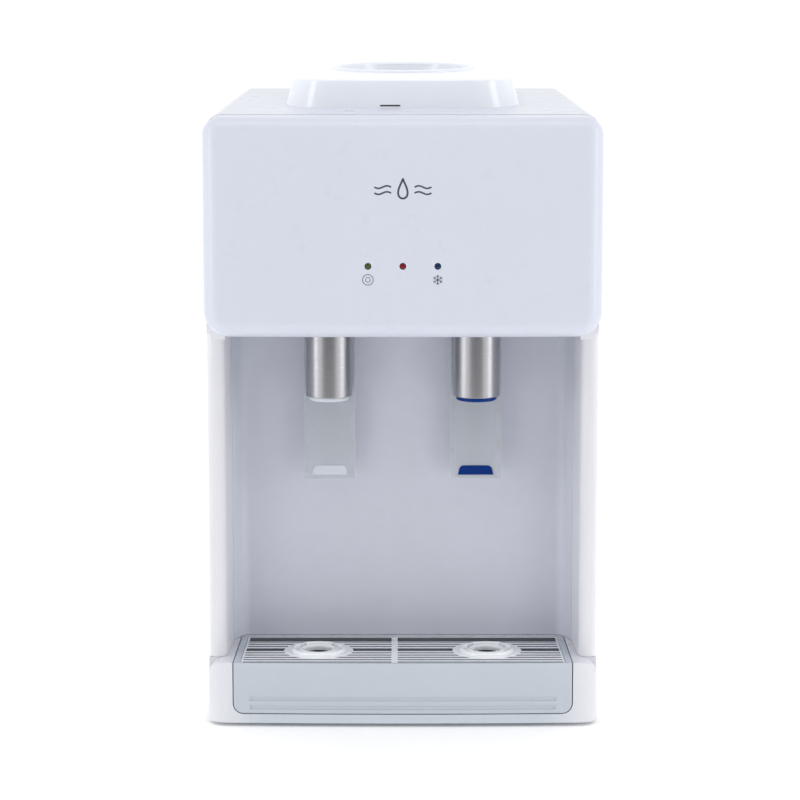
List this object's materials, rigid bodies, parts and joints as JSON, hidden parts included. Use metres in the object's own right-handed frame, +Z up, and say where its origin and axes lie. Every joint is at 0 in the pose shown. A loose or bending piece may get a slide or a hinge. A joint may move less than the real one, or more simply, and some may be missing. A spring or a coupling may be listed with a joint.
{
  "type": "countertop water dispenser",
  "caption": "Countertop bottle-top water dispenser with a rounded overhanging head, hot and cold push taps in an open alcove and a slide-out drip tray.",
  "frame": {"origin": "on the table, below the middle of the machine", "axes": "+X to the user's right, +Y towards the wall, +Z up"},
  "size_m": [0.31, 0.356, 0.514],
  "materials": {
    "white_plastic": "smooth glossy white",
    "white_painted_steel": "white powder coat",
    "seat_plastic": "glossy bluish white",
    "silver_plastic": "fine silver-grey",
    "grey_tray_plastic": "fine silver-grey",
    "ring_plastic": "glossy pale grey",
    "satin_metal": "satin, turned",
    "blue_plastic": "glossy deep blue",
    "smoke_plastic": "translucent grey",
    "light_lens": "unlit dark lenses",
    "black_plastic": "fine texture",
    "red_plastic": "glossy",
    "rubber": "matte",
    "silicone": "milky",
    "clear_white_plastic": "natural polypropylene",
    "galvanised_steel": "zinc coated",
    "stainless": "plain",
    "foam": "expanded foam",
    "copper": "dull copper",
    "black_painted_steel": "semi-gloss black",
    "circuit_board": "green",
    "grey_metal": "plated"
  },
  "bodies": {
    "cabinet": {"alcove_panel": "silver_plastic", "base": "white_plastic", "cabinet_screws": "stainless", "capillary_tube": "copper", "cold_tank": "stainless", "cold_tap_nozzle": "blue_plastic", "cold_thermostat": "grey_metal", "compressor": "black_painted_steel", "compressor_grommets": "rubber", "condenser_tube": "black_painted_steel", "condenser_wires": "black_painted_steel", "drain_spout": "clear_white_plastic", "evaporator_coil": "copper", "feet": "rubber", "filter_drier": "copper", "front_frame": "white_plastic", "gas_pipes": "copper", "head_cover": "white_plastic", "heater_band": "stainless", "hot_tank": "stainless", "hot_tank_jacket": "foam", "hot_tap_nozzle": "seat_plastic", "indicator_board": "circuit_board", "indicator_lights": "light_lens", "left_side_panel": "white_painted_steel", "liquid_pipe": "copper", "pivot_pins": "stainless", "power_gland": "black_plastic", "rear_panel": "galvanised_steel", "right_side_panel": "white_painted_steel", "seat_seal": "silicone", "switch_housings": "black_plastic", "tank_baffle": "clear_white_plastic", "tank_insulation": "foam", "tank_stand": "galvanised_steel", "tap_bracket": "galvanised_steel", "tap_shelf": "silver_plastic", "tap_sleeves": "satin_metal", "terminal_block": "black_plastic", "thermal_cutout": "black_plastic", "top_cover": "white_plastic", "valve_bodies": "black_plastic", "wall_spacers": "black_plastic", "water_hoses": "silicone"},
    "hot_paddle": {"hot_paddle": "smoke_plastic", "hot_paddle_tab": "seat_plastic"},
    "cold_paddle": {"cold_paddle": "smoke_plastic", "cold_paddle_tab": "blue_plastic"},
    "hot_valve": {"hot_valve_plunger": "silicone", "hot_valve_spring": "stainless"},
    "cold_valve": {"cold_valve_plunger": "silicone", "cold_valve_spring": "stainless"},
    "drip_tray": {"drip_tray": "grey_tray_plastic"},
    "drip_grille": {"drip_grille": "grey_tray_plastic", "cup_rings": "ring_plastic"},
    "bottle_seat": {"bottle_seat": "seat_plastic", "water_probe": "clear_white_plastic"},
    "hot_switch": {"hot_switch_rocker": "red_plastic"},
    "cold_switch": {"cold_switch_rocker": "black_plastic"},
    "drain_cap": {"drain_cap": "black_plastic"}
  },
  "joints": [
    {"name": "hot_paddle_hinge", "type": "hinge", "parent": "cabinet", "child": "hot_paddle", "pos_m": [-0.059, -0.078, 0.3405], "axis": [1, 0, 0], "range_deg": [0, 8], "stiffness_Nm_per_rad": 0.6, "springref_deg": -8.59},
    {"name": "hot_valve_slide", "type": "slide", "parent": "cabinet", "child": "hot_valve", "axis": [0, 0, -1], "range_m": [0, 0.004], "deforming": ["hot_valve_spring"]},
    {"name": "cold_paddle_hinge", "type": "hinge", "parent": "cabinet", "child": "cold_paddle", "pos_m": [0.059, -0.078, 0.3405], "axis": [1, 0, 0], "range_deg": [0, 8], "stiffness_Nm_per_rad": 0.6, "springref_deg": -8.59},
    {"name": "cold_valve_slide", "type": "slide", "parent": "cabinet", "child": "cold_valve", "axis": [0, 0, -1], "range_m": [0, 0.004], "deforming": ["cold_valve_spring"]},
    {"name": "drip_tray_slide", "type": "slide", "parent": "cabinet", "child": "drip_tray", "axis": [0, -1, 0], "range_m": [0, 0.12]},
    {"name": "drip_grille_lift", "type": "slide", "parent": "drip_tray", "child": "drip_grille", "axis": [0, 0, 1], "range_m": [0, 0.03]},
    {"name": "bottle_seat_lift", "type": "slide", "parent": "cabinet", "child": "bottle_seat", "axis": [0, 0, 1], "range_m": [0, 0.06]},
    {"name": "hot_switch_rock", "type": "hinge", "parent": "cabinet", "child": "hot_switch", "pos_m": [-0.026, 0.158, 0.4245], "axis": [1, 0, 0], "range_deg": [0, 16]},
    {"name": "cold_switch_rock", "type": "hinge", "parent": "cabinet", "child": "cold_switch", "pos_m": [0.026, 0.158, 0.4245], "axis": [1, 0, 0], "range_deg": [0, 16]},
    {"name": "drain_cap_pull", "type": "slide", "parent": "cabinet", "child": "drain_cap", "axis": [0, 1, 0], "range_m": [0, 0.025]}
  ],
  "couplings": [
    {"joint": "hot_valve_slide", "follows": "hot_paddle_hinge", "m_per_rad": 0.0283},
    {"joint": "cold_valve_slide", "follows": "cold_paddle_hinge", "m_per_rad": 0.0283}
  ]
}
